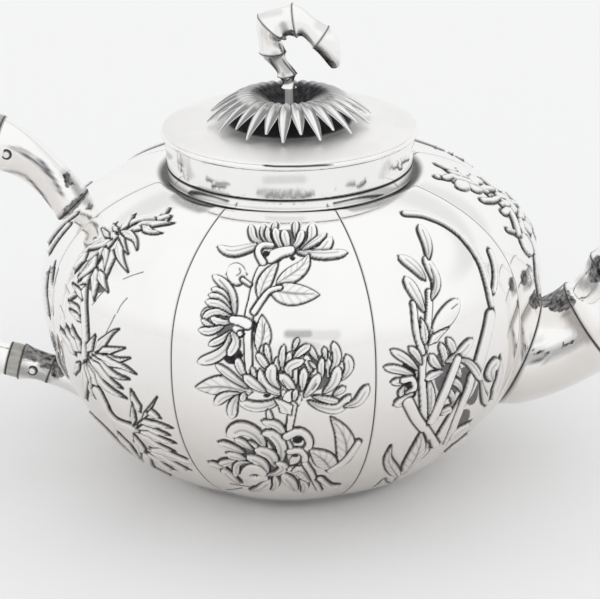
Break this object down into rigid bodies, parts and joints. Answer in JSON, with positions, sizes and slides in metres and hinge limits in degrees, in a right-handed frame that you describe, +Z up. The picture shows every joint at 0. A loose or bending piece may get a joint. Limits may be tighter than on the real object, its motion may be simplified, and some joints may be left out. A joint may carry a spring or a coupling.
{
  "type": "teapot",
  "caption": "Silver teapot with a lobed melon body, lift-off lid with a leaf collar and bamboo hook finial, bamboo spout and bamboo handle on bone insulators.",
  "frame": {"origin": "on the body's axis, on the plane that the foot ring stands on", "axes": "+Z up the body's axis, +X towards the spout, the handle along -X"},
  "size_m": [0.2271, 0.13, 0.1236],
  "materials": {
    "silver": "polished sterling silver with dark patina in the recesses",
    "bone": "aged bone"
  },
  "bodies": {
    "pot": {"body_shell": "silver", "base_plate": "silver", "foot_ring": "silver", "neck_collar": "silver", "spout_root": "silver", "spout_lower": "silver", "spout_middle": "silver", "spout_upper": "silver", "spout_tip": "silver", "upper_socket": "silver", "lower_socket": "silver", "upper_insulator": "bone", "lower_insulator": "bone", "grip_shoulder": "silver", "grip_back_upper": "silver", "grip_back": "silver", "grip_back_lower": "silver", "grip_tail": "silver", "upper_pins": "silver", "lower_pins": "silver"},
    "lid": {"lid_flange": "silver", "lid_band": "silver", "lid_rim": "silver", "lid_top": "silver", "leaf_collar": "silver", "finial": "silver", "finial_stud": "silver", "finial_washer": "silver", "finial_nut": "silver"}
  },
  "joints": [
    {"name": "lid_lift", "type": "slide", "parent": "pot", "child": "lid", "axis": [0, 0, 1], "range_m": [0, 0.05]}
  ]
}
